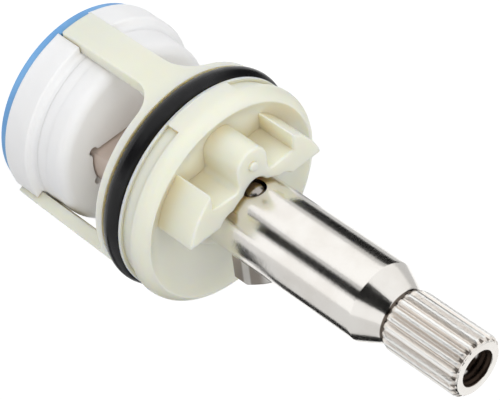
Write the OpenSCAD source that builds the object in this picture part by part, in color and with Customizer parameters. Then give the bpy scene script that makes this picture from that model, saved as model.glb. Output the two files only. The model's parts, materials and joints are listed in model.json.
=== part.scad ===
// Diverter cartridge of a bath and shower mixer: a ceramic disc valve turned by a splined spindle.
// The origin is the centre of the seal face, +Z runs along the spindle to its splined end,
// and +X runs through the key tab of the flange and the middle detent.

/* [Seal end] */
// Distance from the edge of the base in to the edge of the blue seal
seal_inset = 0.45; // [0.2:0.05:0.8]
// Height of the seal's rim
seal_rim_h = 1.3; // [1.1:0.1:2.0]
// Width of the seal's outer rim
seal_rim_w = 2.3; // [2.1:0.1:2.6]
// Depth of the hollow between the seal's lips
seal_hollow_h = 0.4; // [0.2:0.1:0.6]
// Width of the lip round each port
seal_lip_w = 1.1; // [0.8:0.1:1.4]
// Radial width of the stiffening ring in the seal
stiffener_w = 1.0; // [0.8:0.1:1.2]
// Thickness of the stiffening ring
stiffener_t = 0.6; // [0.4:0.1:0.7]

/* [Base] */
// Distance from the edge of the flange's back disc in to the rim of the base
base_inset = 0.75; // [0.5:0.05:1.1]
// Height of the base's outer rim
base_rim_h = 3.9; // [3.4:0.1:4.1]
// Thickness of the base's floor
base_floor_t = 1.8; // [1.6:0.1:2.4]
// Fillet between the base's rim and its collar
base_fillet = 0.5; // [0.3:0.1:0.6]
// Wall between the disc cavity and the outside of the collar
base_collar_wall = 1.6; // [1.4:0.1:1.8]
// Diameter of the inlet and of the two outlets
port_d = 5.6; // [4.8:0.1:6.0]
// Diameter of the circle on which the ports lie
port_circle_d = 11.6; // [11.2:0.1:12.2]
// Angle from the key axis to each outlet
outlet_angle = 60; // [58:1:62]
// Section width of a port seal
port_seal_w = 0.9; // [0.7:0.1:1.0]
// Height of a port seal
port_seal_h = 0.9; // [0.6:0.1:1.2]

/* [Ceramic discs] */
// Thickness of the fixed disc
fixed_disc_t = 3.0; // [2.8:0.1:3.6]
// Thickness of the moving disc
moving_disc_t = 2.5; // [2.2:0.1:3.2]
// Depth of the flow channel under the moving disc
channel_h = 1.6; // [1.2:0.1:1.8]
// Half of the angle that the flow channel covers
channel_half_angle = 84; // [82:1:86]
// Width of the disc notches and of the lugs in them
disc_notch_w = 3.0; // [2.4:0.1:3.6]
// Depth of the disc notches
disc_notch_h = 1.2; // [1.0:0.1:1.3]
// Thickness of the flow silencer
silencer_t = 0.6; // [0.4:0.1:0.8]
// Distance that the fixed disc stands out of the base's collar
disc_proud = 0.1; // [0.05:0.05:0.2]

/* [Driver] */
// Thickness of the driver's roof
driver_roof_t = 1.7; // [1.5:0.1:2.4]
// Rounding of the driver's top edge
driver_round = 1.5; // [0.8:0.1:1.6]
// Wall of the driver's skirt
driver_wall = 1.4; // [1.2:0.1:1.6]
// Gap between the base's collar and the driver
driver_gap = 0.3; // [0.3:0.05:0.4]
// Radius of the reliefs in the slot's corners
slot_relief_r = 0.6; // [0.4:0.1:0.8]
// Section diameter of the pressure ring
pressure_ring_section = 1.1; // [0.9:0.1:1.2]
// Distance from the driver's bore in to the pressure ring
pressure_ring_inset = 1.45; // [1.25:0.05:1.55]
// Distance that the pressure ring stands out of the driver's roof
pressure_ring_proud = 0.3; // [0.2:0.05:0.4]

/* [Turning range] */
// Turn from the middle detent to either end stop
turn_each_way = 60; // [50:1:62]
// Half of the angle that the stop lug covers
stop_lug_half_angle = 8; // [6:1:10]
// Angle left between the stop lug and its end stop
stop_spare_angle = 2; // [2:1:3]
// Height of the stop lug
stop_lug_h = 0.8; // [0.6:0.1:0.9]

/* [Drive dog] */
// Distance from the driver's bore in to the drive dog
dog_inset = 3.7; // [3.6:0.1:4.1]
// Thickness of the dog's tang across its flats
tang_t = 4.6; // [4.2:0.1:5.2]
// Height of the dog's round collar
dog_collar_h = 1.9; // [1.6:0.1:2.2]
// Part of the dog's collar that stands out of the flange
dog_collar_proud = 0.4; // [0.2:0.1:0.6]
// Thickness of the spindle's tongue in the dog
tongue_t = 2.4; // [2.0:0.1:2.6]
// Width of the spindle's tongue in the dog
tongue_w = 9.0; // [7.0:0.1:10.0]

/* [Housing cage] */
// Diameter of the flange's back disc, which fits the bore of the valve body
cage_d = 28.8; // [28.4:0.1:29.0]
// Radial thickness of a leg where it meets the flange
leg_t = 1.75; // [1.6:0.05:1.9]
// Taper of a leg's outer side, from the flange to the leg's end
leg_draft = 0.2; // [0.1:0.05:0.3]
// Width of a leg
leg_w = 4.7; // [4.0:0.1:5.6]
// Fillet between a leg and the flange
leg_fillet = 3.5; // [2.5:0.1:4.5]
// Open height between the driver and the flange
window_h = 8.5; // [7.5:0.1:11.0]
// Distance from the seal to the ends of the legs
leg_end_gap = 0.7; // [0.5:0.1:1.0]
// Reach of the snap hook on a leg's inner side
hook_reach = 0.45; // [0.3:0.05:0.5]
// Height of the snap hook
hook_h = 1.2; // [1.0:0.1:1.4]

/* [Flange] */
// Thickness of the flange's back disc
back_disc_t = 1.05; // [0.9:0.05:1.4]
// Distance that the flange seal stands out past the back disc
flange_seal_proud = 0.5; // [0.4:0.05:0.6]
// Section diameter of the flange seal
flange_seal_section = 2.8; // [2.6:0.1:3.0]
// Thickness of the ridge in front of the flange seal
ridge_t = 0.4; // [0.3:0.05:0.6]
// Depth of the recess beside the key tab, in from the rim
recess_inset = 0.7; // [0.4:0.05:1.0]
// Height of the band beside the key tab
recess_h = 1.95; // [1.6:0.05:2.4]
// Angle that the key tab covers
key_angle = 38; // [30:1:44]
// Distance that the flange's rim stands out past the back disc
rim_proud = 0.2; // [0.1:0.05:0.3]
// Height of the straight part of the rim
rim_band_h = 0.4; // [0.3:0.05:0.6]
// Rounding of the rim
rim_round = 2.0; // [1.6:0.1:2.2]
// Depth of the hollow inside the rim, under the top of the rim's rounding
valley_depth = 1.4; // [1.0:0.1:1.5]
// Distance from the edge of the rim in to the hollow's flat floor
valley_inset = 4.6; // [4.4:0.1:5.4]
// Radius of the hollow's concave side
valley_side_r = 5.0; // [4.0:0.5:7.0]
// Diameter of the raised ring round the spindle
collar_ring_d = 13.2; // [12.6:0.1:14.0]
// Height of the raised ring round the spindle
collar_ring_h = 0.35; // [0.2:0.05:0.6]

/* [Front boss] */
// Height of the front boss over the hollow's floor
boss_h = 5.9; // [5.0:0.1:7.0]
// Distance from the spindle axis to the flat back of the boss
boss_cut_x = 3.2; // [3.0:0.1:3.4]
// Diameter over the boss's side wings
boss_d = 22.6; // [21.0:0.2:23.0]
// Wall between the detent's crests and the pockets in front of them
block_wall = 0.95; // [0.8:0.05:1.3]
// Width across the two pockets, from one side wing to the other
pocket_w = 13.2; // [12.6:0.1:13.8]
// Width of the middle lug between the pockets
lug_w = 4.8; // [4.6:0.1:5.4]
// Distance from the spindle axis to the round end of the middle lug
lug_reach = 11.5; // [10.8:0.1:11.8]
// Fillet between the middle lug and the block behind it
lug_fillet = 0.8; // [0.4:0.1:1.2]
// Diameter of the moulding gate nub on the middle lug
gate_nub_d = 1.3; // [1.0:0.1:1.6]
// Height of the moulding gate nub
gate_nub_h = 0.45; // [0.3:0.05:0.6]

/* [Detent] */
// Diameter of the detent ball
ball_d = 2.9; // [2.8:0.1:3.2]
// Distance that the ball stands out of the spindle
ball_proud = 0.2; // [0.1:0.05:0.25]
// Gap between the spindle and the crests between the detents
crest_gap = 0.35; // [0.35:0.05:0.45]
// Radius of a detent notch
notch_r = 1.9; // [1.8:0.1:2.0]
// Depth of a detent notch under the crests
notch_depth = 1.0; // [0.8:0.05:1.1]
// Height of the notched part of the boss
notch_h = 4.3; // [3.5:0.1:4.8]
// Distance from the front of the boss down to the ball's centre
ball_drop = 0.3; // [0.2:0.1:0.9]
// Wire diameter of the detent spring
spring_wire = 0.3; // [0.25:0.05:0.4]
// Coil diameter of the detent spring, at the wire's centre
spring_coil_d = 2.4; // [2.2:0.1:2.6]
// Number of turns of the detent spring
spring_turns = 5; // [4:1:7]
// Length of the detent spring behind the ball
spring_l = 5.3; // [4.5:0.1:6.0]

/* [Spindle] */
// Diameter of the spindle's stem
stem_d = 10.6; // [10.2:0.1:10.8]
// Length of the stem in front of the boss
stem_front_l = 20.0; // [16.0:0.5:30.0]
// Length of the cone at the stem's end
stem_cone_l = 3.2; // [2.4:0.1:4.0]
// Section diameter of the stem seals
stem_seal_section = 1.5; // [1.3:0.1:1.6]
// Thickness of the glide washer
glide_washer_t = 0.5; // [0.4:0.1:0.6]
// Diameter over the stop tab, which lies on the far side of the spindle from the boss
tab_d = 16.4; // [15.4:0.1:17.0]
// Width of the stop tab across its two flats
tab_w = 9.1; // [8.6:0.1:9.6]
// Distance that the stop tab reaches down past the front of the boss
tab_drop = 0.6; // [0.4:0.1:1.0]
// Height of the stop tab's round edge
tab_edge_h = 2.1; // [1.6:0.1:2.6]
// Height of the stop tab's cone
tab_cone_h = 4.8; // [4.0:0.1:5.6]

/* [Spline] */
// Number of spline teeth
spline_teeth = 20; // [16:1:24]
// Diameter over the spline teeth
spline_d = 8.0; // [7.8:0.1:8.4]
// Depth of the spline grooves
spline_groove_depth = 0.4; // [0.3:0.05:0.5]
// Share of the tooth pitch that a groove takes at its mouth
spline_groove_share = 0.5; // [0.4:0.05:0.6]
// Length of the splined end
spline_l = 11.3; // [8.0:0.1:14.0]
// Length of the neck between the cone and the spline
neck_l = 0.4; // [0.3:0.1:1.5]
// Depth of the neck under the spline's crests
neck_cut = 0.35; // [0.3:0.05:0.5]
// Chamfer at the spline's end
spline_chamfer = 0.7; // [0.4:0.1:0.9]
// Core diameter of the tapped hole for the handle screw
screw_core_d = 4.2; // [3.4:0.1:4.3]
// Depth of the tapped hole
screw_depth = 12.0; // [8.0:0.5:14.0]
// Width of the chamfer at the tapped hole's mouth
screw_chamfer = 0.3; // [0.2:0.05:0.5]
// Depth of the chamfer at the tapped hole's mouth
screw_chamfer_h = 0.6; // [0.3:0.05:0.8]

/* [Clearances] */
// Radial running clearance between the spindle and the housing
stem_clearance = 0.06; // [0.05:0.01:0.1]
// Gap between the lapped faces of the two discs
lap_gap = 0.01; // [0.01:0.01:0.02]
// Radial gap between the driver and the legs
driver_leg_gap = 0.35; // [0.3:0.05:0.5]
// Radial gap between the base's collar and the legs
collar_leg_gap = 0.25; // [0.15:0.05:0.35]
// Radial gap between the dog's collar and the housing
dog_gap = 0.3; // [0.2:0.05:0.4]
// Clearance of a piece that is laid or slid into another
seat_clearance = 0.1; // [0.05:0.05:0.15]
// Distance that a stem seal stands out of the stem
seal_proud = 0.03; // [0.01:0.01:0.04]

/* [Hidden] */
$fn = 96;

// A cut runs past the faces it opens by this much
over = 1;
leg_angles = [0, 120, 240];
notch_angles = [90, 270];
inlet_angle = 180;
stop_angle = 180;
tab_angle = 180;

// Radii of the cage, and what fits inside its legs
cage_r = cage_d / 2;
leg_inner_r = cage_r - leg_t;
driver_r = leg_inner_r - driver_leg_gap;
driver_bore_r = driver_r - driver_wall;
moving_disc_r = driver_bore_r - seat_clearance;
pressure_ring_r = driver_bore_r - pressure_ring_inset;
dog_r = driver_bore_r - dog_inset;
dog_recess_r = dog_r + dog_gap;
collar_r = leg_inner_r - collar_leg_gap;
base_bore_r = collar_r - base_collar_wall;
fixed_disc_r = base_bore_r - seat_clearance;
base_r = cage_r - base_inset;
port_r = port_d / 2;
port_seal_r = port_r + port_seal_w;
seal_r = base_r - seal_inset;
// The stiffening ring lies in the middle of the seal's rim
stiffener_r = seal_r - (seal_rim_w - stiffener_w) / 2;

// Radii of the flange
flange_seal_r = cage_r + flange_seal_proud;
groove_floor_r = flange_seal_r - flange_seal_section;
rim_r = cage_r + rim_proud;
recess_r = rim_r - recess_inset;
valley_r = rim_r - valley_inset;

// Radii of the spindle, and what lies round it
stem_r = stem_d / 2;
stem_bore_r = stem_r + stem_clearance;
stem_groove_r = stem_r + seal_proud - stem_seal_section;
crest_r = stem_r + crest_gap;
block_x = crest_r + block_wall;
spline_r = spline_d / 2;
neck_r = spline_r - neck_cut;
screw_core_r = screw_core_d / 2;
ball_hole_r = ball_d / 2 + seat_clearance;
ball_x = stem_r + ball_proud - ball_d / 2;
spring_x = ball_x - ball_d / 2 - spring_l;

// Levels along the axis, from the seal face up
z_base = seal_rim_h;
z_leg_end = z_base + leg_end_gap;
z_step = z_base + base_rim_h;
z_fixed = z_base + base_floor_t;
z_lap = z_fixed + fixed_disc_t;
z_collar = z_lap - disc_proud;
z_moving = z_lap + lap_gap;
z_moving_top = z_moving + moving_disc_t;
z_driver = z_collar + driver_gap;
z_roof = z_moving_top + pressure_ring_proud;
z_driver_top = z_roof + driver_roof_t;
z_flange = z_driver_top + window_h;
z_groove = z_flange + back_disc_t;
z_ridge = z_groove + flange_seal_section + seat_clearance;
z_recess = z_ridge + ridge_t;
z_rim = z_recess + recess_h;
z_rim_round = z_rim + rim_band_h;
z_rim_top = z_rim_round + rim_round;
z_valley = z_rim_top - valley_depth;
z_boss = z_valley + boss_h;
z_dog_top = z_flange + dog_collar_h - dog_collar_proud;
z_dog_collar = z_dog_top - dog_collar_h;
z_washer_top = z_dog_top + glide_washer_t + stem_clearance;
z_dog_end = z_moving_top + seat_clearance;
z_ball = z_boss - ball_drop;
z_tab = z_boss - tab_drop;
z_stem_end = z_boss + stem_front_l;
z_neck = z_stem_end + stem_cone_l;
z_spline = z_neck + neck_l;
z_end = z_spline + spline_l;

pressure_groove_h = pressure_ring_section - pressure_ring_proud;

// The two stem seals share the bore between the washer and the hollow's floor evenly
seal_groove_h = stem_seal_section + 2 * seat_clearance;
seal_land_h = (z_valley - z_washer_top - 2 * seal_groove_h) / 3;
z_seal_lower = z_washer_top + seal_land_h + seal_groove_h / 2;
z_seal_upper = z_seal_lower + seal_groove_h + seal_land_h;

// Pie slice of the plane from angle a0 to a1, out to past radius r
module slice(r, a0, a1) {
    steps = 8;
    polygon(concat([[0, 0]], [
        for (i = [0:steps])
            let (a = a0 + (a1 - a0) * i / steps) 1.2 * r * [cos(a), sin(a)]
    ]));
}

// Flat ring between two radii
module ring_2d(outer_r, inner_r) {
    difference() {
        circle(r = outer_r);
        circle(r = inner_r);
    }
}

// Round-section ring lying across the axis
module o_ring(outer_r, section, z) {
    translate([0, 0, z])
        rotate_extrude()
            translate([outer_r - section / 2, 0])
                circle(d = section, $fn = 48);
}

// One copy of the children at each angle round the axis
module around(angles) {
    for (a = angles)
        rotate([0, 0, a])
            children();
}

// One copy of the children on each port's centre
module at_ports() {
    around([inlet_angle, outlet_angle, -outlet_angle])
        translate([port_circle_d / 2, 0, 0])
            children();
}

// Side view of a leg: straight strip that flares into the flange with a round fillet on each side
module leg_outline() {
    flare_w = leg_w + 2 * leg_fillet;
    translate([-leg_w / 2, z_leg_end])
        square([leg_w, z_flange - z_leg_end]);
    difference() {
        translate([-flare_w / 2, z_flange - leg_fillet])
            square([flare_w, leg_fillet + back_disc_t]);
        for (side = [-1, 1])
            translate([side * flare_w / 2, z_flange - leg_fillet])
                circle(r = leg_fillet);
    }
}

// Leg on the +X side, tapered on its outer side, with the snap hook that holds the base
module leg() {
    intersection() {
        rotate([90, 0, 90])
            linear_extrude(cage_r + over)
                leg_outline();
        rotate_extrude()
            polygon([
                [leg_inner_r, z_leg_end],
                [cage_r - leg_draft, z_leg_end],
                [cage_r, z_flange],
                [cage_r, z_groove],
                [leg_inner_r, z_groove]
            ]);
    }
    intersection() {
        translate([0, -leg_w / 2, z_leg_end])
            cube([cage_r, leg_w, hook_h]);
        rotate_extrude()
            polygon([
                [leg_inner_r + leg_t / 2, z_leg_end],
                [leg_inner_r, z_leg_end],
                [leg_inner_r - hook_reach, z_leg_end + hook_h * 0.6],
                [leg_inner_r - hook_reach, z_leg_end + hook_h],
                [leg_inner_r + leg_t / 2, z_leg_end + hook_h]
            ]);
    }
}

// Half section of the flange, with the seal groove, the rounded rim and the hollow inside it
module flange_section() {
    difference() {
        union() {
            translate([0, z_flange])
                square([cage_r, back_disc_t]);
            translate([0, z_groove])
                square([groove_floor_r, z_ridge - z_groove]);
            translate([0, z_ridge])
                square([cage_r, ridge_t]);
            translate([0, z_recess])
                square([recess_r, recess_h]);
            translate([0, z_rim])
                square([rim_r, rim_band_h]);
            translate([0, z_rim_round])
                square([rim_r - rim_round, rim_round]);
            intersection() {
                translate([rim_r - rim_round, z_rim_round])
                    circle(r = rim_round);
                translate([0, z_rim_round])
                    square([rim_r, rim_round]);
            }
        }
        translate([0, z_valley])
            square([valley_r, valley_depth + over]);
        intersection() {
            translate([valley_r, z_valley + valley_side_r])
                circle(r = valley_side_r);
            translate([valley_r, z_valley])
                square([valley_side_r, valley_depth + over]);
        }
    }
}

// Plan of the front boss: a block with a flat back and round wings, a lug with a round end
// in front of it, and a pocket on each side of the lug
module boss_plan() {
    lug_r = lug_w / 2;
    difference() {
        intersection() {
            circle(d = boss_d);
            translate([boss_cut_x, -boss_d / 2])
                square(boss_d);
        }
        translate([block_x, -pocket_w / 2])
            square([boss_d, pocket_w]);
    }
    translate([boss_cut_x, -lug_r])
        square([lug_reach - lug_r - boss_cut_x, lug_w]);
    translate([lug_reach - lug_r, 0])
        circle(r = lug_r);
    difference() {
        translate([boss_cut_x, -lug_r - lug_fillet])
            square([block_x - boss_cut_x + lug_fillet, lug_w + 2 * lug_fillet]);
        for (side = [-1, 1])
            translate([block_x + lug_fillet, side * (lug_r + lug_fillet)])
                circle(r = lug_fillet, $fn = 48);
    }
}

// Inside of the boss's front part: a notch at the middle and at each end of the turning range
module detent_plan() {
    circle(r = crest_r);
    around([-turn_each_way, 0, turn_each_way])
        translate([crest_r + notch_depth - notch_r, 0])
            circle(r = notch_r);
}

// Flange and boss in one, with the spindle bore, the dog's recess and the detent notches cut out
module bored_flange() {
    difference() {
        union() {
            rotate_extrude()
                flange_section();
            translate([0, 0, z_valley - over])
                cylinder(d = collar_ring_d, h = collar_ring_h + over);
            translate([0, 0, z_valley - over])
                linear_extrude(boss_h + over)
                    boss_plan();
            translate([lug_reach - lug_w / 2, 0, z_boss - over])
                cylinder(d = gate_nub_d, h = gate_nub_h + over);
        }
        translate([0, 0, z_flange - over])
            cylinder(r = stem_bore_r, h = z_boss - z_flange + 2 * over);
        translate([0, 0, z_flange - over])
            cylinder(r = dog_recess_r, h = z_washer_top - z_flange + over);
        translate([0, 0, z_boss - notch_h])
            linear_extrude(notch_h + over)
                detent_plan();
    }
}

// Full-width part of the band behind the rim, which keys the flange to its seat
module key_tab() {
    translate([0, 0, z_recess])
        linear_extrude(recess_h)
            intersection() {
                ring_2d(rim_r, recess_r - over);
                slice(rim_r, -key_angle / 2, key_angle / 2);
            }
}

module housing() {
    color("#e6e4c8") {
        bored_flange();
        key_tab();
        around(leg_angles)
            leg();
    }
}

module flange_seal() {
    color("#1c1c1e")
        o_ring(flange_seal_r, flange_seal_section, (z_groove + z_ridge) / 2);
}

// Cross-section of the spline: a round bar with straight-sided grooves
module spline_plan() {
    pitch = 360 / spline_teeth;
    mouth = PI * spline_d / spline_teeth * spline_groove_share;
    root_r = spline_r - spline_groove_depth;
    difference() {
        circle(r = spline_r);
        for (i = [0:spline_teeth - 1])
            rotate(i * pitch)
                polygon([
                    [root_r, -mouth / 4],
                    [spline_r + spline_groove_depth, -mouth * 0.75],
                    [spline_r + spline_groove_depth, mouth * 0.75],
                    [root_r, mouth / 4]
                ]);
    }
}

// Tapered envelope of the splined end, with a chamfer at either end
module spline_envelope() {
    rotate_extrude()
        polygon([
            [0, z_spline],
            [neck_r, z_spline],
            [spline_r, z_spline + spline_chamfer],
            [spline_r, z_end - spline_chamfer],
            [spline_r - spline_chamfer, z_end],
            [0, z_end]
        ]);
}

// Stop tab: the part of a coned collar that two flats beside the stem leave standing
module stop_tab() {
    rotate([0, 0, tab_angle])
        intersection() {
            rotate_extrude()
                polygon([
                    [0, z_tab],
                    [tab_d / 2, z_tab],
                    [tab_d / 2, z_tab + tab_edge_h],
                    [stem_r, z_tab + tab_edge_h + tab_cone_h],
                    [0, z_tab + tab_edge_h + tab_cone_h]
                ]);
            translate([0, -tab_w / 2, z_tab - over])
                cube([tab_d, tab_w, tab_edge_h + tab_cone_h + 2 * over]);
        }
}

module spindle() {
    color("#c9c7c3")
        difference() {
            union() {
                translate([0, 0, z_dog_top])
                    cylinder(r = stem_r, h = z_stem_end - z_dog_top);
                translate([0, 0, z_stem_end])
                    cylinder(r1 = stem_r, r2 = neck_r, h = stem_cone_l);
                translate([0, 0, z_neck])
                    cylinder(r = neck_r, h = neck_l);
                intersection() {
                    spline_envelope();
                    translate([0, 0, z_spline])
                        linear_extrude(spline_l)
                            spline_plan();
                }
                stop_tab();
                translate([-tongue_t / 2, -tongue_w / 2, z_dog_end])
                    cube([tongue_t, tongue_w, z_dog_top - z_dog_end + over]);
            }
            for (z = [z_seal_lower, z_seal_upper])
                translate([0, 0, z - seal_groove_h / 2])
                    linear_extrude(seal_groove_h)
                        ring_2d(stem_r + over, stem_groove_r);
            translate([spring_x - seat_clearance, 0, z_ball])
                rotate([0, 90, 0])
                    cylinder(r = ball_hole_r, h = stem_d);
            translate([0, 0, z_end - screw_depth])
                cylinder(r = screw_core_r, h = screw_depth + over);
            translate([0, 0, z_end - screw_chamfer_h])
                cylinder(r1 = screw_core_r, r2 = screw_core_r + screw_chamfer, h = screw_chamfer_h);
        }
}

module drive_dog() {
    color("#b9b2a8")
        difference() {
            union() {
                translate([0, 0, z_dog_end])
                    linear_extrude(z_dog_top - z_dog_end)
                        intersection() {
                            circle(r = dog_r);
                            square([tang_t, 2 * dog_r], center = true);
                        }
                translate([0, 0, z_dog_collar])
                    cylinder(r = dog_r, h = dog_collar_h);
            }
            translate([-tongue_t / 2, -tongue_w / 2, z_dog_end - over])
                cube([tongue_t, tongue_w, z_dog_top - z_dog_end + 2 * over]);
        }
}

module stem_seal(z) {
    color("#222224")
        o_ring(stem_r + seal_proud, stem_seal_section, z);
}

module glide_washer() {
    color("#e9e9e4")
        translate([0, 0, z_dog_top + stem_clearance])
            linear_extrude(glide_washer_t)
                ring_2d(dog_recess_r - seat_clearance, stem_r + 2 * seat_clearance);
}

module detent_ball() {
    color("#d5d5d5")
        translate([ball_x, 0, z_ball])
            sphere(d = ball_d);
}

// Points of one wire section of the spring, which winds along +X
function spring_section(a, length, coil_r, wire_r, sides) = [
    for (s = [0:sides - 1])
        let (
            t = 360 * s / sides,
            r = coil_r + wire_r * cos(t),
            x = wire_r + (length - 2 * wire_r) * a / (360 * spring_turns) + wire_r * sin(t)
        )
        [x, r * cos(a), r * sin(a)]
];

module detent_spring() {
    sides = 8;
    steps = 16 * spring_turns;
    rings = [
        for (i = [0:steps])
            let (a = 360 * spring_turns * i / steps)
            spring_section(a, spring_l, spring_coil_d / 2, spring_wire / 2, sides)
    ];
    points = [for (ring = rings) for (p = ring) p];
    walls = [
        for (i = [0:steps - 1], s = [0:sides - 1])
            let (n = (s + 1) % sides)
            [i * sides + s, i * sides + n, (i + 1) * sides + n, (i + 1) * sides + s]
    ];
    start_cap = [[for (s = [sides - 1:-1:0]) s]];
    end_cap = [[for (s = [0:sides - 1]) steps * sides + s]];
    color("#a8a8aa")
        translate([spring_x, 0, z_ball])
            polyhedron(points, concat(walls, start_cap, end_cap), convexity = 8);
}

// Slot in the driver's roof for the dog's tang, with a round relief in each corner
module tang_slot() {
    half_t = tang_t / 2 + seat_clearance;
    slot_r = dog_r + seat_clearance;
    corner_y = sqrt(slot_r * slot_r - half_t * half_t);
    intersection() {
        circle(r = slot_r);
        square([2 * half_t, 2 * slot_r], center = true);
    }
    for (x = [-half_t, half_t], y = [-corner_y, corner_y])
        translate([x, y])
            circle(r = slot_relief_r, $fn = 32);
}

// Half section of the driver: a cap with a rounded top edge
module driver_section() {
    difference() {
        union() {
            translate([0, z_driver])
                square([driver_r, z_driver_top - driver_round - z_driver]);
            translate([0, z_driver])
                square([driver_r - driver_round, z_driver_top - z_driver]);
            translate([driver_r - driver_round, z_driver_top - driver_round])
                circle(r = driver_round);
        }
        translate([0, z_driver - over])
            square([driver_bore_r, z_roof - z_driver + over]);
        translate([pressure_ring_r - pressure_ring_section - seat_clearance, z_roof - over])
            square([pressure_ring_section + 2 * seat_clearance, pressure_groove_h + over]);
        translate([-2 * driver_r, z_driver])
            square([2 * driver_r, z_driver_top - z_driver]);
    }
}

// Lugs inside a round wall of radius r that hold a disc by its notches
module disc_lugs(r, z, h) {
    lug_w = disc_notch_w - 2 * seat_clearance;
    lug_end = r - seat_clearance - disc_notch_h;
    translate([0, 0, z])
        linear_extrude(h)
            intersection() {
                ring_2d(r + base_collar_wall / 2, lug_end + 2 * seat_clearance);
                around(notch_angles)
                    translate([0, -lug_w / 2])
                        square([2 * r, lug_w]);
            }
}

// Plan of a ceramic disc of radius r, with a notch for each lug
module disc_plan(r) {
    difference() {
        circle(r = r);
        around(notch_angles)
            translate([r - disc_notch_h, -disc_notch_w / 2])
                square([2 * disc_notch_h, disc_notch_w]);
    }
}

module driver() {
    color("#f2f2f0") {
        difference() {
            union() {
                rotate_extrude()
                    driver_section();
                disc_lugs(driver_bore_r, z_driver, z_roof - z_driver);
                translate([0, 0, z_driver - stop_lug_h])
                    linear_extrude(stop_lug_h + over)
                        intersection() {
                            ring_2d(driver_r, driver_bore_r);
                            slice(
                                driver_r,
                                stop_angle - stop_lug_half_angle,
                                stop_angle + stop_lug_half_angle
                            );
                        }
            }
            translate([0, 0, z_roof - over])
                linear_extrude(driver_roof_t + 2 * over)
                    tang_slot();
        }
    }
}

module pressure_ring() {
    color("#303034")
        o_ring(pressure_ring_r, pressure_ring_section, z_moving_top + pressure_ring_section / 2);
}

// Plan of the flow channel: an arc with round ends, wide enough to cover a port
module channel_plan(margin) {
    arc_r = port_circle_d / 2;
    half_w = port_r - margin;
    end_angle = channel_half_angle - asin(port_r / arc_r);
    intersection() {
        ring_2d(arc_r + half_w, arc_r - half_w);
        slice(2 * arc_r, inlet_angle - end_angle, inlet_angle + end_angle);
    }
    around([inlet_angle - end_angle, inlet_angle + end_angle])
        translate([arc_r, 0])
            circle(r = half_w);
}

module moving_disc() {
    color("#f6f4ee")
        difference() {
            translate([0, 0, z_moving])
                linear_extrude(moving_disc_t)
                    disc_plan(moving_disc_r);
            translate([0, 0, z_moving - over])
                linear_extrude(channel_h + over)
                    channel_plan(0);
        }
}

module flow_silencer() {
    color("#9a9da0")
        translate([0, 0, z_moving + channel_h - silencer_t])
            linear_extrude(silencer_t)
                channel_plan(seat_clearance);
}

module fixed_disc() {
    color("#f6f4ee")
        difference() {
            translate([0, 0, z_fixed])
                linear_extrude(fixed_disc_t)
                    disc_plan(fixed_disc_r);
            at_ports()
                translate([0, 0, z_fixed - over])
                    cylinder(r = port_r, h = fixed_disc_t + 2 * over);
        }
}

// Seal between the base and the fixed disc, at the port on the given angle
module port_seal(angle) {
    color("#2a2a2c")
        rotate([0, 0, angle])
            translate([port_circle_d / 2, 0, z_fixed - port_seal_h])
                linear_extrude(port_seal_h)
                    ring_2d(port_seal_r, port_r);
}

// Half section of the base: a flat rim, a concave fillet and the collar round the fixed disc
module base_section() {
    difference() {
        union() {
            translate([0, z_base])
                square([base_r, base_rim_h]);
            translate([0, z_base])
                square([collar_r, z_collar - z_base]);
            translate([0, z_step])
                square([collar_r + base_fillet, base_fillet]);
        }
        translate([collar_r + base_fillet, z_step + base_fillet])
            circle(r = base_fillet, $fn = 48);
        translate([0, z_fixed])
            square([base_bore_r, fixed_disc_t + over]);
    }
}

module base() {
    stop_half = turn_each_way + stop_lug_half_angle + stop_spare_angle;
    recess_z = z_driver - stop_lug_h - driver_gap;
    color("#fafafa")
        difference() {
            union() {
                rotate_extrude()
                    base_section();
                disc_lugs(base_bore_r, z_fixed, fixed_disc_t / 2);
            }
            at_ports()
                translate([0, 0, z_base - over])
                    cylinder(r = port_r, h = base_floor_t + 2 * over);
            at_ports()
                translate([0, 0, z_fixed - port_seal_h])
                    cylinder(r = port_seal_r, h = port_seal_h + over);
            around(leg_angles)
                leg_notch();
            translate([0, 0, recess_z])
                linear_extrude(z_driver - recess_z)
                    intersection() {
                        ring_2d(base_r + over, base_bore_r - over);
                        slice(base_r + over, stop_angle - stop_half, stop_angle + stop_half);
                    }
        }
}

// Notch in the base for one leg and its snap hook
module leg_notch() {
    notch_w = leg_w + 2 * seat_clearance;
    hook_r = leg_inner_r - hook_reach - seat_clearance;
    intersection() {
        translate([0, -notch_w / 2, z_base - over])
            cube([base_r + over, notch_w, z_collar - z_base + 2 * over]);
        union() {
            translate([0, 0, z_base - over])
                linear_extrude(z_collar - z_base + 2 * over)
                    ring_2d(base_r + over, leg_inner_r - seat_clearance);
            translate([0, 0, z_leg_end])
                linear_extrude(hook_h + seat_clearance)
                    ring_2d(base_r + over, hook_r);
        }
    }
}

module base_seal() {
    color("#7db4e6")
        difference() {
            union() {
                linear_extrude(seal_rim_h)
                    ring_2d(seal_r, seal_r - seal_rim_w);
                translate([0, 0, seal_hollow_h])
                    cylinder(r = seal_r - seal_rim_w / 2, h = seal_rim_h - seal_hollow_h);
                at_ports()
                    cylinder(r = port_r + seal_lip_w, h = seal_rim_h);
            }
            at_ports()
                translate([0, 0, -over])
                    cylinder(r = port_r, h = seal_rim_h + 2 * over);
            translate([0, 0, seal_rim_h - stiffener_t])
                linear_extrude(stiffener_t + over)
                    ring_2d(stiffener_r, stiffener_r - stiffener_w);
        }
}

module support_ring() {
    color("#8e9194")
        translate([0, 0, seal_rim_h - stiffener_t])
            linear_extrude(stiffener_t)
                ring_2d(stiffener_r, stiffener_r - stiffener_w);
}

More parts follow.
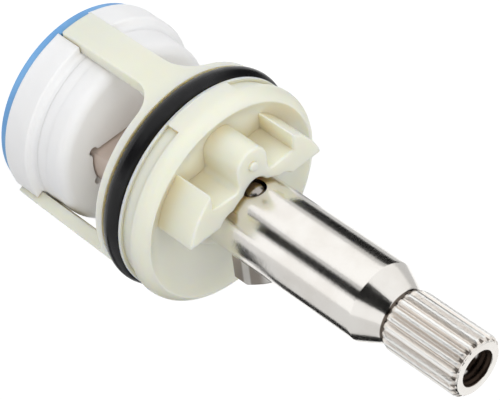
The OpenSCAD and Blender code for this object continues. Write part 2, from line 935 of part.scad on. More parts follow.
housing();
flange_seal();
spindle();
drive_dog();
stem_seal(z_seal_upper);  // stem_seal_upper
stem_seal(z_seal_lower);  // stem_seal_lower
glide_washer();
detent_ball();
detent_spring();
driver();
pressure_ring();
moving_disc();
flow_silencer();
fixed_disc();
port_seal(inlet_angle);  // port_seal_inlet
port_seal(outlet_angle);  // port_seal_left
port_seal(-outlet_angle);  // port_seal_right
base();
base_seal();
support_ring();
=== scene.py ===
"""Looks of the diverter cartridge: edges, threads, finishes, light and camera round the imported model."""
import json
import math

import bmesh
import bpy
from mathutils import Matrix, Vector


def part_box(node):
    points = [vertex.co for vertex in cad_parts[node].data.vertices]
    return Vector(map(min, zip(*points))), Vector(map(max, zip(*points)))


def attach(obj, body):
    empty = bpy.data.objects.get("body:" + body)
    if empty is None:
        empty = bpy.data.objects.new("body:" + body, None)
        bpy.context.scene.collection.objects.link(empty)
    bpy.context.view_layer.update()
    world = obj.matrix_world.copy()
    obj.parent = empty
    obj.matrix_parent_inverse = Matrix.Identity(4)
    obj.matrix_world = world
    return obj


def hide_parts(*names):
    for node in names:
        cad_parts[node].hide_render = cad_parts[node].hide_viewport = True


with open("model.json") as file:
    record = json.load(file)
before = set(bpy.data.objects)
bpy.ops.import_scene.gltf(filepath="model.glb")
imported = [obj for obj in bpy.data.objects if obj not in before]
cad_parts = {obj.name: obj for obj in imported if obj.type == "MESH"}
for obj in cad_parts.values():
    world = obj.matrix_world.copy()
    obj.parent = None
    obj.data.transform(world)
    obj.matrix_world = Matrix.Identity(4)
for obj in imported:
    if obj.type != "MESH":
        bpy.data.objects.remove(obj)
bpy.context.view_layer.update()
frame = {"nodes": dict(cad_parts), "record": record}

MM = 0.001
WHITE = (1.0, 1.0, 1.0, 1.0)
COLLECTION = bpy.context.scene.collection
SLOT_OF = {subpart["node"]: subpart["material_slot"] for subpart in frame["record"]["subparts"]}
BODY_OF = {node: body for body, nodes in frame["record"]["behaviour"]["bodies"].items() for node in nodes}

# Camera of the photograph, fitted to the circles and straight edges of the cartridge
CAMERA_AT = Vector((207.129, 123.507, 185.932)) * MM
CAMERA_RIGHT = Vector((-0.09372, -0.71455, 0.69327))
CAMERA_UP = Vector((0.68914, -0.54911, -0.47282))
SENSOR_W = 36.0
FOCAL_PX = 2400.0
PICTURE_W = 500


class Signal:
    """A number that changes over a surface. Sums and products of signals add Math nodes."""

    def __init__(self, builder, socket):
        self.builder = builder
        self.socket = socket

    def maths(self, operation, *values):
        """Adds a Math node that works on these values."""
        node = self.builder.node("ShaderNodeMath", {"operation": operation}, dict(enumerate(values)))
        return Signal(self.builder, node.outputs[0])

    def __add__(self, other):
        return self.maths("ADD", self, other)

    def __sub__(self, other):
        return self.maths("SUBTRACT", self, other)

    def __rsub__(self, other):
        return self.maths("SUBTRACT", other, self)

    def __mul__(self, other):
        return self.maths("MULTIPLY", self, other)

    __radd__ = __add__
    __rmul__ = __mul__

    def root(self):
        return self.maths("SQRT", self)

    def between(self, low, high):
        """0 at low and 1 at high, with a soft start and end."""
        settings = {"interpolation_type": "SMOOTHSTEP"}
        sockets = {"Value": self, "From Min": low, "From Max": high}
        node = self.builder.node("ShaderNodeMapRange", settings, sockets)
        return Signal(self.builder, node.outputs["Result"])

    def within(self, rise, fall):
        """1 between two soft edges and 0 outside them. Each edge is the pair of values that it spans."""
        return self.between(*rise) * (1 - self.between(*fall))


class NodeBuilder:
    """Builds one tree of shader nodes from nothing."""

    def __init__(self, tree):
        self.tree = tree
        self.tree.nodes.clear()

    def node(self, kind, settings, sockets):
        """A node of this type, with its settings first and then the value or link of each socket."""
        node = self.tree.nodes.new(kind)
        for name, value in settings.items():
            setattr(node, name, value)
        for name, value in sockets.items():
            self.feed(node.inputs[name], value)
        return node

    def feed(self, socket, value):
        """Links or sets one socket."""
        if isinstance(value, Signal):
            value = value.socket
        if isinstance(value, bpy.types.NodeSocket):
            self.tree.links.new(value, socket)
        else:
            socket.default_value = value


class Finish(NodeBuilder):
    """A material with one Principled shader."""

    def __init__(self, name, constants):
        self.material = bpy.data.materials.new(name)
        self.material.use_nodes = True
        super().__init__(self.material.node_tree)
        self.shader = self.node("ShaderNodeBsdfPrincipled", {}, constants)
        self.output = self.node("ShaderNodeOutputMaterial", {}, {"Surface": self.shader.outputs[0]})

    def vary(self, **signals):
        """Feeds changing values to the shader's own sockets, named with underscores."""
        for name, value in signals.items():
            self.feed(self.shader.inputs[name.replace("_", " ").title()], value)

    def place(self, stretch):
        """The point on the object in metres, stretched along each axis."""
        point = self.node("ShaderNodeTexCoord", {}, {}).outputs["Object"]
        node = self.node("ShaderNodeVectorMath", {"operation": "MULTIPLY"}, {0: point, 1: stretch})
        return node.outputs[0]

    def along(self, axis):
        """Coordinate of the point on the object along one axis, in millimetres."""
        node = self.node("ShaderNodeSeparateXYZ", {}, {"Vector": self.place((1 / MM, 1 / MM, 1 / MM))})
        return Signal(self, node.outputs[axis])

    def noise(self, size, detail=3, stretch=(1, 1, 1)):
        """Smooth noise with grains of about this size in metres, from 0 to 1."""
        sockets = {"Vector": self.place(stretch), "Scale": 1 / size, "Detail": detail}
        return Signal(self, self.node("ShaderNodeTexNoise", {}, sockets).outputs["Fac"])

    def corner_shade(self, reach):
        """1 deep in a corner and 0 on an open face, for corners of about this size, from ambient occlusion;
        it is used to paint shade into corners.
        """
        node = self.node("ShaderNodeAmbientOcclusion", {"samples": 8}, {"Distance": reach})
        return 1 - Signal(self, node.outputs["AO"])

    def blend(self, amount, low, high):
        """Colour that goes from low to high with the amount."""
        node = self.node("ShaderNodeMix", {"data_type": "RGBA"}, {})
        for name, value in (("Factor_Float", amount), ("A_Color", low), ("B_Color", high)):
            self.feed(next(s for s in node.inputs if s.identifier == name), value)
        return next(s for s in node.outputs if s.identifier == "Result_Color")

    def bump(self, height, depth):
        """Normal of a surface with this height map, depth metres from 0 to 1."""
        node = self.node("ShaderNodeBump", {}, {"Height": height, "Distance": depth, "Strength": 1.0})
        return node.outputs["Normal"]


def rgb(red, green, blue):
    """Screen colour from 0 to 255 as the linear colour that Blender works in."""
    def linear(value):
        value /= 255
        return value / 12.92 if value <= 0.04045 else ((value + 0.055) / 1.055) ** 2.4
    return (linear(red), linear(green), linear(blue), 1.0)


def cream_acetal():
    """Translucent cream plastic of the housing, with painted shade that makes it darker and yellower in its
    corners.
    """
    finish = Finish("cream_acetal", {
        "Specular IOR Level": 0.45,
        "Subsurface Weight": 0.85, "Subsurface Radius": (1.0, 0.85, 0.5), "Subsurface Scale": 2.2 * MM,
    })
    # Painted shade: deep in corners the cream turns darker and yellower, as where shade falls.
    corner = finish.corner_shade(4 * MM).between(0.1, 0.8)
    cloud = finish.noise(6 * MM).between(0.3, 0.7)
    skin = finish.blend(cloud * 0.35, rgb(233, 234, 221), rgb(230, 230, 213))
    finish.vary(
        base_color=finish.blend(corner, skin, rgb(218, 208, 176)),
        roughness=0.30 + 0.10 * finish.noise(0.8 * MM),
        normal=finish.bump(finish.noise(0.35 * MM), 0.004 * MM),
    )
    return finish.material


def white_acetal():
    """White plastic of the base and the driver, satin from the mould."""
    finish = Finish("white_acetal", {
        "Specular IOR Level": 0.4,
        "Subsurface Weight": 0.3, "Subsurface Radius": (1.0, 0.95, 0.9), "Subsurface Scale": 0.6 * MM,
    })
    cloud = finish.noise(5 * MM).between(0.3, 0.7)
    # Painted shade: deep in corners the white turns a little greyer.
    corner = finish.corner_shade(2 * MM).between(0.2, 0.9)
    skin = finish.blend(cloud * 0.5, rgb(246, 246, 247), rgb(242, 242, 243))
    finish.vary(
        base_color=finish.blend(corner, skin, rgb(236, 234, 231)),
        roughness=0.42 + 0.1 * finish.noise(0.7 * MM),
        normal=finish.bump(finish.noise(0.3 * MM), 0.003 * MM),
    )
    return finish.material


def blue_silicone():
    """Light blue rubber of the base seal."""
    finish = Finish("blue_silicone", {"Specular IOR Level": 0.4})
    cloud = finish.noise(4 * MM).between(0.3, 0.7)
    finish.vary(
        base_color=finish.blend(cloud, rgb(126, 180, 230), rgb(112, 168, 222)),
        roughness=0.45 + 0.12 * finish.noise(0.5 * MM),
        normal=finish.bump(finish.noise(0.25 * MM), 0.004 * MM),
    )
    return finish.material


def black_nitrile():
    """Black rubber of the O-rings, with a thin film of grease."""
    finish = Finish("black_nitrile", {"Specular IOR Level": 0.3})
    film = finish.noise(2.5 * MM, detail=4).between(0.35, 0.65)
    finish.vary(
        base_color=finish.blend(film, rgb(12, 12, 14), rgb(20, 20, 22)),
        roughness=0.36 - 0.1 * film,
        normal=finish.bump(finish.noise(0.2 * MM), 0.004 * MM),
    )
    return finish.material


# Soft edges between the looks of the nickel plate, among them its painted shade and painted highlights, in
# millimetres: heights over the seal face
DOG_TOP = (19.5, 20.5)
TAB_HIGHLIGHT = ((33.2, 33.6), (34.5, 34.9))
TAB_TIP = (36.2, 38)
NECK = ((55.5, 55.64), (55.95, 56.15))
SPLINE = ((55.8, 56.1), (67, 67.1))
GROOVE_END = ((66.2, 66.55), (66.9, 67.02))
HOLE = ((56, 57), (67.1, 67.15))
HOLE_HIGHLIGHT_TOP = (65.1, 65.35)
# The same for radii round the axis, and for the place of the stop tab's milled side across it
TOOTH_TOP_R = (3.82, 3.96)
GROOVE_FLOOR_R = (3.61, 3.71)
HOLE_WALL_R = (2.43, 2.47)
MILLED_X = (-2.9, -2.8)
MILLED_Y = (4.48, 4.52)
# The square of the distance to the hole's middle line at which its two painted highlight streaks start
HOLE_HIGHLIGHT_SIDE = (0.5, 1.1)


def bright_nickel():
    """Nickel plate over turned brass, with faint marks of the tool round the stem.

    The drive dog is duller and browner. Painted shade darkens the neck, the ends of the spline's grooves and
    the hole, whose thread has two painted highlight streaks; the spline's crests carry a painted highlight,
    and the milled side of the stop tab is duller and darker, with painted light streaks.
    """
    finish = Finish("bright_nickel", {})
    x, y, height = (finish.along(axis) for axis in "XYZ")
    radius = (x * x + y * y).root()
    turning = finish.noise(0.25 * MM, stretch=(0.4, 0.4, 1.0))
    cloud = finish.noise(3 * MM).between(0.3, 0.7)
    dog = 1 - height.between(*DOG_TOP)
    neck_shade = height.within(*NECK)
    spline = height.within(*SPLINE)
    groove_end_shade = height.within(*GROOVE_END) * (1 - radius.between(*GROOVE_FLOOR_R))
    hole_shade = height.within(*HOLE) * (1 - radius.between(*HOLE_WALL_R))
    sight = CAMERA_AT.xy.normalized()
    across = sight.x * y - sight.y * x
    hole_highlight = hole_shade * (1 - height.between(*HOLE_HIGHLIGHT_TOP)) * (across * across).between(*HOLE_HIGHLIGHT_SIDE)
    milled = (1 - x.between(*MILLED_X)) * y.between(*MILLED_Y)
    tab_highlight = height.within(*TAB_HIGHLIGHT) + height.between(*TAB_TIP)

    plate = finish.blend(cloud, rgb(240, 237, 232), rgb(234, 230, 224))
    # Painted highlight on the spline: the crests of the teeth are lighter and the groove floors darker, as
    # painted shade.
    tooth = finish.blend(radius.between(*TOOTH_TOP_R), rgb(242, 235, 227), rgb(253, 252, 249))
    plate = finish.blend(spline, plate, tooth)
    # Painted shade: the neck and the ends of the spline's grooves are dark.
    plate = finish.blend(neck_shade + 0.85 * groove_end_shade, plate, rgb(100, 91, 83))
    plate = finish.blend(dog, plate, rgb(222, 206, 196))
    # Painted shade in the hole, with two painted highlight streaks on its thread, which are also less
    # metallic.
    plate = finish.blend(hole_shade, plate, finish.blend(hole_highlight, rgb(70, 58, 50), rgb(236, 234, 230)))
    # The milled side of the stop tab is a duller, darker tone, except in bands where painted light streaks
    # keep the bright plate.
    plate = finish.blend(milled * (1 - tab_highlight), plate, rgb(172, 163, 154))
    marks = 0.04 * cloud + 0.05 * turning
    duller = 0.2 * dog + 0.18 * spline + 0.2 * hole_shade + 0.25 * milled
    finish.vary(
        base_color=plate,
        metallic=1 - 0.5 * dog - hole_highlight,
        roughness=0.13 + marks + duller,
        normal=finish.bump(turning * 0.16 + spline * finish.noise(0.2 * MM, detail=1), 0.05 * MM),
    )
    return finish.material


def polished_steel():
    """Hardened steel of the detent ball."""
    finish = Finish("polished_steel", {"Metallic": 1.0})
    cloud = finish.noise(0.6 * MM)
    finish.vary(
        base_color=finish.blend(cloud, rgb(188, 182, 176), rgb(172, 166, 160)),
        roughness=0.2 + 0.1 * cloud,
    )
    return finish.material


def drawn_steel():
    """Stainless wire and sheet of the spring, the mesh and the stiffening ring."""
    finish = Finish("drawn_steel", {"Metallic": 1.0})
    grain = finish.noise(0.15 * MM, stretch=(0.2, 1.0, 1.0))
    finish.vary(
        base_color=finish.blend(grain, rgb(190, 190, 192), rgb(160, 160, 164)),
        roughness=0.28 + 0.15 * grain,
        normal=finish.bump(grain, 0.001 * MM),
    )
    return finish.material


def lapped_ceramic():
    """Ivory white alumina of the discs."""
    finish = Finish("lapped_ceramic", {"Specular IOR Level": 0.6})
    speck = finish.noise(0.4 * MM, detail=5).between(0.45, 0.75)
    finish.vary(
        base_color=finish.blend(speck, rgb(246, 243, 234), rgb(234, 229, 216)),
        roughness=0.16 + 0.1 * speck,
    )
    return finish.material


def slide_plastic():
    """Filled plastic of the glide washer."""
    finish = Finish("slide_plastic", {"Specular IOR Level": 0.4})
    speck = finish.noise(0.3 * MM, detail=4).between(0.4, 0.7)
    finish.vary(
        base_color=finish.blend(speck, rgb(234, 234, 228), rgb(214, 214, 206)),
        roughness=0.4 + 0.1 * speck,
    )
    return finish.material


# The finish of each material slot in the record
FINISHES = {
    "cage_plastic": cream_acetal(),
    "white_plastic": white_acetal(),
    "blue_rubber": blue_silicone(),
    "black_rubber": black_nitrile(),
    "nickel": bright_nickel(),
    "hard_steel": polished_steel(),
    "spring_steel": drawn_steel(),
    "ceramic": lapped_ceramic(),
    "slide_plastic": slide_plastic(),
}


def paint(obj, slot):
    """Gives an object the finish of a material slot."""
    obj.data.materials.clear()
    obj.data.materials.append(FINISHES[slot])


def piece(name, mesh, node):
    """Adds a piece that stands for a CAD node and takes its finish."""
    obj = bpy.data.objects.new(name, mesh)
    COLLECTION.objects.link(obj)
    slot = SLOT_OF[node]
    paint(obj, slot)
    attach(obj, BODY_OF[node])
    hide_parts(node)
    return obj


# Faces of the CAD mesh that lie this flat to each other are one face, and corners this near are one
FLAT = math.radians(0.2)
WELD = 0.0001 * MM
# Outer edges sharper than this are rounded, in this many steps
SHARP = math.radians(25)
EDGE_STEPS = 3
# Corners this near to a radius belong to the wall that was turned to it, if the face is no flatter than this
TURNED_WITHIN = 0.02 * MM
WALL_TILT = 0.5


def solid_copy(node, top):
    """The welded faces of a CAD solid, without what lies above the level top if one is given."""
    bm = bmesh.new()
    bm.from_mesh(frame["nodes"][node].data)
    bmesh.ops.remove_doubles(bm, verts=bm.verts, dist=WELD)
    if top is not None:
        geometry = [*bm.verts, *bm.edges, *bm.faces]
        bmesh.ops.bisect_plane(bm, geom=geometry, plane_co=(0, 0, top), plane_no=(0, 0, 1), clear_outer=True)
    bmesh.ops.dissolve_limit(bm, angle_limit=FLAT, verts=bm.verts, edges=bm.edges)
    return bm


def is_outer_corner(edge):
    """Whether an edge between two faces sticks out sharply enough to be rounded."""
    return len(edge.link_faces) == 2 and edge.is_convex and edge.calc_face_angle() > SHARP


def shade(bm):
    """Smooth faces that meet hard at the sharp edges."""
    for face in bm.faces:
        face.smooth = True
    for edge in bm.edges:
        edge.smooth = len(edge.link_faces) != 2 or edge.calc_face_angle() < SHARP


def rounded(name, mesh, radii):
    """Mesh with each edge rounded by its own radius, and cut into triangles."""
    widest = max(radii)
    weights = mesh.attributes.new("bevel_weight_edge", "FLOAT", "EDGE")
    weights.data.foreach_set("value", [radius / widest for radius in radii])
    draft = bpy.data.objects.new(name, mesh)
    COLLECTION.objects.link(draft)
    bevel = draft.modifiers.new("edges", "BEVEL")
    bevel.limit_method = "WEIGHT"
    bevel.width = widest
    bevel.segments = EDGE_STEPS
    bevel.use_clamp_overlap = False
    bevel.harden_normals = True
    draft.modifiers.new("triangles", "TRIANGULATE").keep_custom_normals = True
    graph = bpy.context.evaluated_depsgraph_get()
    skin = bpy.data.meshes.new_from_object(draft.evaluated_get(graph))
    bpy.data.objects.remove(draft)
    return skin


def straighten_normals(mesh, radius):
    """Points the normals of the wall that was turned to this radius straight out from the axis."""
    normals = [corner.vector.copy() for corner in mesh.corner_normals]
    for polygon in mesh.polygons:
        spokes = [Vector((*mesh.vertices[vertex].co[:2], 0)) for vertex in polygon.vertices]
        on_wall = all(abs(spoke.length - radius) < TURNED_WITHIN for spoke in spokes)
        if on_wall and abs(polygon.normal.z) < WALL_TILT:
            for loop, spoke in zip(polygon.loop_indices, spokes):
                normals[loop] = spoke.normalized()
    mesh.normals_split_custom_set(normals)


def softened(node, edge_of, top=None, turned_r=None):
    """Copy of a CAD solid with its sharp outer edges rounded.

    The radius is what edge_of gives for each edge's middle. What lies above the level top is left out.
    The wall turned to the radius turned_r gets true normals.
    """
    bm = solid_copy(node, top)
    middles = [(edge.verts[0].co + edge.verts[1].co) / 2 for edge in bm.edges]
    radii = [edge_of(middle) if is_outer_corner(edge) else 0 for edge, middle in zip(bm.edges, middles)]
    shade(bm)
    mesh = bpy.data.meshes.new(node + "_draft")
    bm.to_mesh(mesh)
    bm.free()
    if "custom_normal" in mesh.attributes:
        mesh.attributes.remove(mesh.attributes["custom_normal"])
    skin = rounded(node + "_draft", mesh, radii)
    if turned_r is not None:
        straighten_normals(skin, turned_r)
    return piece(node + "_skin", skin, node)


def grid_faces(rows, columns, closed):
    """Four-sided faces between rows of points. In a closed grid each row's end joins its start."""
    faces = []
    for row in range(rows - 1):
        low, high = row * columns, (row + 1) * columns
        for left in range(columns if closed else columns - 1):
            right = (left + 1) % columns
            faces.append((low + left, low + right, high + right, high + left))
    return faces


def tube(name, rows, node):
    """Smooth wall through rows of points, each row one round of the axis."""
    mesh = bpy.data.meshes.new(name)
    points = [point for row in rows for point in row]
    mesh.from_pydata(points, [], grid_faces(len(rows), len(rows[0]), closed=True))
    mesh.shade_smooth()
    return piece(name, mesh, node)


def polar(radius, angle, height):
    """Point at this radius and height in millimetres, and angle in degrees."""
    turn = math.radians(angle)
    return (radius * math.cos(turn) * MM, radius * math.sin(turn) * MM, height * MM)


# Points of the driver's lip in millimetres: height over the base, and how far it stands out of the skirt
LIP_PROFILE = [
    (0.004, -1.2), (0.004, 0.05), (0.02, 0.088), (0.1, 0.095), (0.45, 0.09),
    (0.9, 0.05), (1.4, 0.01), (1.9, -0.02),
]
LIP_COLUMNS = 120


def driver_lip():
    """Flared lower edge of the driver's skirt, which runs down to the base's collar without a step."""
    low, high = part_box("driver")
    skirt = (high.y - low.y) / 2 / MM
    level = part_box("base")[1].z / MM
    angles = [360 / LIP_COLUMNS * column for column in range(LIP_COLUMNS)]
    rows = [[polar(skirt + out, angle, level + up) for angle in angles] for up, out in LIP_PROFILE]
    tube("driver_lip", rows, "driver")


# Height and radius in millimetres of the points on the spindle's end: cone, neck, splined end and flat ring
STEM_R = 5.3
STEM_CUT = 51.2
CONE_PROFILE = [
    (STEM_CUT, STEM_R), (51.9, STEM_R), (52.15, 5.297), (52.25, 5.28), (52.34, 5.25), (52.43, 5.21),
    (52.53, 5.165), (53.2, 4.84), (54.2, 4.33), (55.2, 3.81),
]
NECK_PROFILE = [(55.34, 3.74), (55.44, 3.70), (55.54, 3.67), (55.66, 3.65), (55.84, 3.65)]
SPLINE_R = 4.0
SPLINE_PROFILE = [
    (55.9, 3.66), (55.98, 3.7), (56.5, 3.955), (56.6, 3.99), (56.72, SPLINE_R), (58.5, SPLINE_R),
    (61.0, SPLINE_R), (63.5, SPLINE_R), (66.5, SPLINE_R), (66.6, 3.985), (66.68, 3.945), (66.9, 3.74),
    (67.02, 3.62), (67.12, 3.52),
]
RING_PROFILE = [(67.18, 3.46), (67.21, 3.38), (67.21, 3.0), (67.21, 2.62), (67.2, 2.52), (67.16, 2.45)]
TEETH = 20
GROOVE_DEPTH = 0.52
# One groove and tooth: degrees from the groove's middle, and depth as a share of the whole
GROOVE = [
    (-6.6, 0.0), (-5.9, 0.08), (-2.0, 0.9), (-1.0, 1.0), (1.0, 1.0), (2.0, 0.9), (5.9, 0.08), (6.6, 0.0),
    (8.0, 0.0), (9.0, 0.0), (10.0, 0.0),
]


def spindle_rows(profile, toothed=False):
    """Rows of points round the spindle's end, with the spline's grooves cut in where it is toothed."""
    rows = []
    for height, radius in profile:
        row = []
        for tooth in range(TEETH):
            for angle, share in GROOVE:
                wall = min(radius, SPLINE_R - GROOVE_DEPTH * share) if toothed else radius
                row.append(polar(wall, 360 / TEETH * tooth + angle, height))
        rows.append(row)
    return rows


def spindle_end():
    """Cone, neck and splined end of the spindle, with the flat ring round its hole."""
    rows = spindle_rows(CONE_PROFILE + NECK_PROFILE)
    rows += spindle_rows(SPLINE_PROFILE, toothed=True)
    rows += spindle_rows(RING_PROFILE)
    tube("spindle_end", rows, "spindle")


# The thread in the spindle's end, in millimetres
THREAD_PITCH = 0.8
THREAD_CREST_R = 2.2
THREAD_ROOT_R = 2.44
THREAD_TOP = 67.1
THREAD_END = 57.1
THREAD_ROW_H = 0.08
THREAD_COLUMNS = 72
CAP_R = 0.01
# How much narrower the chamfer at its mouth gets with depth
MOUTH_SLOPE = 0.6


def thread_radius(height, turn):
    """Radius of the thread at this height and share of a turn, or of the mouth's chamfer if that is wider."""
    crest = 0.5 - 0.5 * math.cos(2 * math.pi * (height / THREAD_PITCH - turn))
    mouth_z, mouth_r = RING_PROFILE[-1]
    return max(
        THREAD_ROOT_R + (THREAD_CREST_R - THREAD_ROOT_R) * crest,
        mouth_r - (mouth_z - height) * MOUTH_SLOPE,
    )


def handle_thread():
    """Thread in the spindle's end, from the flat ring down to the cap that closes it."""
    turns = [column / THREAD_COLUMNS for column in range(THREAD_COLUMNS)]
    mouth_z, mouth_r = RING_PROFILE[-1]
    rows = [[polar(mouth_r, 360 * turn, mouth_z) for turn in turns]]
    for i in range(round((THREAD_TOP - THREAD_END) / THREAD_ROW_H) + 1):
        height = THREAD_TOP - THREAD_ROW_H * i
        rows.append([polar(thread_radius(height, turn), 360 * turn, height) for turn in turns])
    rows.append([polar(CAP_R, 360 * turn, THREAD_END) for turn in turns])
    tube("handle_thread", rows, "spindle")


# Rounding of the outer edges
BOSS_ROUND = 0.3 * MM
HOUSING_ROUND = 0.16 * MM
STEP_ROUND = 0.3 * MM
BASE_ROUND = 0.15 * MM
DRIVER_ROUND = 0.2 * MM
SPINDLE_ROUND = 0.12 * MM
SMALL_ROUND = 0.15 * MM
# Where it changes: levels over the seal face, the legs in degrees, and the ball's hole
SEAL_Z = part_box("flange_seal")[0].z
LEGS_Z = SEAL_Z - 5 * MM
NOTCH_FLOOR_Z = 28.01 * MM
LEVEL_WITHIN = 0.05 * MM
BASE_STEP_Z = 5.1 * MM
GAP_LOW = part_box("base")[1].z - 0.1 * MM
GAP_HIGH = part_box("driver")[0].z + 1.2 * MM
LEG_PITCH = 120
LEG_SIDE = 13
BALL_AT = (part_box("detent_ball")[0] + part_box("detent_ball")[1]) / 2
BALL_REACH = 2.2 * MM


def housing_edge(middle):
    """Widest at the boss, and none from the legs' top to the seal or at the floor of the detent notches."""
    if abs(middle.z - NOTCH_FLOOR_Z) < LEVEL_WITHIN or LEGS_Z <= middle.z <= SEAL_Z:
        return 0
    return BOSS_ROUND if middle.z > NOTCH_FLOOR_Z else HOUSING_ROUND


def base_edge(middle):
    """Widest at the rim's top, and none beside the legs and at the gap under the driver."""
    turn = math.degrees(math.atan2(middle.y, middle.x)) % LEG_PITCH
    if middle.z > GAP_LOW or min(turn, LEG_PITCH - turn) < LEG_SIDE:
        return 0
    return STEP_ROUND if middle.z > BASE_STEP_Z else BASE_ROUND


def driver_edge(middle):
    """None at the gap over the base, where the skirt has its lip."""
    return DRIVER_ROUND if middle.z > GAP_HIGH else 0


def spindle_edge(middle):
    """None at the mouth of the ball's hole."""
    return SPINDLE_ROUND if (middle - BALL_AT).length >= BALL_REACH else 0


def small_edge(middle):
    """The same everywhere."""
    return SMALL_ROUND


# The CAD nodes that no piece replaces keep their own shape, with its finish
for name, obj in frame["nodes"].items():
    paint(obj, SLOT_OF[name])
softened("housing", housing_edge)
softened("base", base_edge)
driver_lip()
softened("driver", driver_edge)
softened("base_seal", small_edge)
softened("drive_dog", small_edge)
softened("spindle", spindle_edge, top=STEM_CUT * MM, turned_r=STEM_R * MM)
spindle_end()
handle_thread()


def add_camera():
    """The camera, with its lens in proportion to the width of the picture."""
    data = bpy.data.cameras.new("camera")
    data.sensor_width = SENSOR_W
    data.lens = SENSOR_W * FOCAL_PX / PICTURE_W
    data.clip_start = 0.01
    data.clip_end = 50
    camera = bpy.data.objects.new("camera", data)
    COLLECTION.objects.link(camera)
    back = CAMERA_RIGHT.cross(CAMERA_UP)
    turn = Matrix((CAMERA_RIGHT, CAMERA_UP, back)).transposed().to_4x4()
    camera.matrix_world = Matrix.Translation(CAMERA_AT) @ turn
    bpy.context.scene.camera = camera


def staged(name, mesh, finish):
    """Adds an object of the studio."""
    mesh.materials.append(finish.material)
    obj = bpy.data.objects.new(name, mesh)
    COLLECTION.objects.link(obj)
    return obj


# The floor: radius in metres, how far it glows plain white for the camera and for mirrors, and how strongly
FLOOR_R = 6.0
FLOOR_SEEN = 0.8
FLOOR_MIRRORED = 0.85
FLOOR_GLOW = 1.15


def add_floor():
    """Wide white floor under the seal face. Eyes and mirrors see it white, and it keeps a soft shadow."""
    mesh = bpy.data.meshes.new("floor")
    bm = bmesh.new()
    bmesh.ops.create_circle(bm, cap_ends=True, segments=96, radius=FLOOR_R)
    bm.to_mesh(mesh)
    bm.free()
    grey = (0.9, 0.9, 0.9, 1.0)
    finish = Finish("floor_white", {"Base Color": grey, "Roughness": 1.0, "Specular IOR Level": 0.0})
    path = finish.node("ShaderNodeLightPath", {}, {}).outputs
    seen = Signal(finish, path["Is Camera Ray"])
    mirrored = Signal(finish, path["Is Glossy Ray"])
    share = FLOOR_SEEN * seen + FLOOR_MIRRORED * mirrored
    white = finish.node("ShaderNodeEmission", {}, {"Color": WHITE, "Strength": FLOOR_GLOW})
    mix = finish.node("ShaderNodeMixShader", {}, {0: share, 1: finish.shader.outputs[0], 2: white.outputs[0]})
    finish.feed(finish.output.inputs["Surface"], mix.outputs[0])
    staged("floor", mesh, finish)


def add_world(strength):
    """Even light from all sides, and a white sky for the camera and for mirrors."""
    world = bpy.data.worlds.new("studio")
    world.use_nodes = True
    sky = NodeBuilder(world.node_tree)
    path = sky.node("ShaderNodeLightPath", {}, {}).outputs
    light = sky.node("ShaderNodeBackground", {}, {"Color": WHITE, "Strength": strength})
    white = sky.node("ShaderNodeBackground", {}, {"Color": WHITE, "Strength": 1.0})
    either = Signal(sky, path["Is Camera Ray"]) + Signal(sky, path["Is Glossy Ray"])
    mix = sky.node("ShaderNodeMixShader", {}, {0: either, 1: light.outputs[0], 2: white.outputs[0]})
    sky.node("ShaderNodeOutputWorld", {}, {"Surface": mix.outputs[0]})
    bpy.context.scene.world = world


# Three square lamps on the camera's side: azimuth in degrees, and power in watts
LAMPS = {"light_right": (-45, 0.51), "light_middle": (0, 0.59), "light_left": (45, 0.75)}
LAMP_RISE = 40
LAMP_DISTANCE = 0.5
LAMP_SIZE = 0.25
CARTRIDGE_MIDDLE = Vector((0, 0, 30)) * MM


def add_lamp(name, azimuth, watts):
    """Square soft lamp that faces the middle of the cartridge. Mirrors see the cards and not the lamp."""
    data = bpy.data.lights.new(name, "AREA")
    data.size = LAMP_SIZE
    data.energy = watts
    lamp = bpy.data.objects.new(name, data)
    lamp.visible_glossy = False
    COLLECTION.objects.link(lamp)
    turn, rise = math.radians(azimuth), math.radians(LAMP_RISE)
    towards = Vector((math.cos(turn) * math.cos(rise), math.sin(turn) * math.cos(rise), math.sin(rise)))
    aim = towards.to_track_quat("Z", "Y").to_matrix().to_4x4()
    lamp.matrix_world = Matrix.Translation(CARTRIDGE_MIDDLE + towards * LAMP_DISTANCE) @ aim


# Curved cards round the cartridge, which draw the darker bands along the plated stem. A dark card in front of
# a wider and lighter one makes a dark band with soft edges.
FRONT_R = 45
BEHIND_R = 46
CARD_TONES = {"dark_card": 0.012, "grey_card": 0.33, "soft_card": 0.62, "pale_card": 0.76}
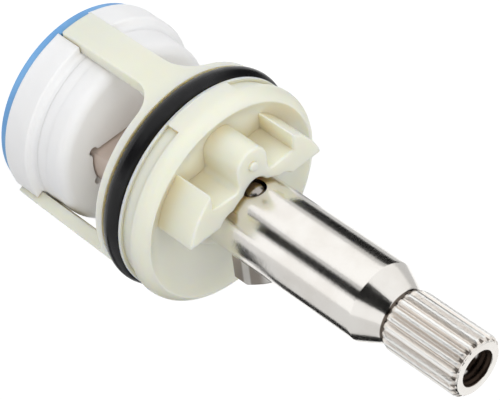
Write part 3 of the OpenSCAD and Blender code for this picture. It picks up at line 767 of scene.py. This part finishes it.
# Radius, tone and rows of each card. A row gives a height in millimetres and the azimuths of its two ends.
CARDS = {
    "card_right": (FRONT_R, "dark_card", [(8, -92, -57), (45, -92, -57)]),
    "card_right_edge": (BEHIND_R, "soft_card", [
        (8, -114, -45), (45, -114, -45), (58, -110, -86), (150, -110, -86),
    ]),
    "card_right_low": (BEHIND_R, "grey_card", [(0, -155, -110), (11, -155, -110)]),
    "card_front": (FRONT_R, "dark_card", [
        (0, 31, 55), (12, 36, 56), (45, 36, 56), (58, 10, 56), (150, 10, 56),
    ]),
    "card_front_edge": (BEHIND_R, "soft_card", [(0, 18, 62), (12, 27, 62), (45, 27, 62), (50, 27, 56)]),
    "card_left": (FRONT_R, "dark_card", [
        (0, 110, 180), (6, 112, 168), (11, 118, 145), (15, 151, 178), (45, 151, 178),
        (58, 146, 180), (150, 146, 180),
    ]),
    "card_side": (BEHIND_R, "pale_card", [(0, 94, 160), (150, 98, 160)]),
}
CARD_STEPS = 12


def card_finish(name, tone):
    """Plain glow of one tone, which mirrors see as it is."""
    return Finish(name, {
        "Base Color": (0, 0, 0, 1), "Roughness": 1.0, "Specular IOR Level": 0.0,
        "Emission Color": (tone, tone, tone, 1), "Emission Strength": 1.0,
    })


def add_card(name, radius, finish, rows):
    """A card that only mirrors see."""
    points = [
        polar(radius, start + (end - start) * i / CARD_STEPS, height)
        for height, start, end in rows for i in range(CARD_STEPS + 1)
    ]
    mesh = bpy.data.meshes.new(name)
    mesh.from_pydata(points, [], grid_faces(len(rows), CARD_STEPS + 1, closed=False))
    card = staged(name, mesh, finish)
    card.visible_camera = False
    card.visible_diffuse = False
    card.visible_shadow = False
    card.visible_transmission = False


add_camera()
add_floor()
add_world(strength=0.4)
for name, (azimuth, watts) in LAMPS.items():
    add_lamp(name, azimuth, watts)
card_finishes = {name: card_finish(name, tone) for name, tone in CARD_TONES.items()}
for name, (radius, tone, rows) in CARDS.items():
    add_card(name, radius, card_finishes[tone], rows)
bpy.context.scene.view_settings.view_transform = "Standard"
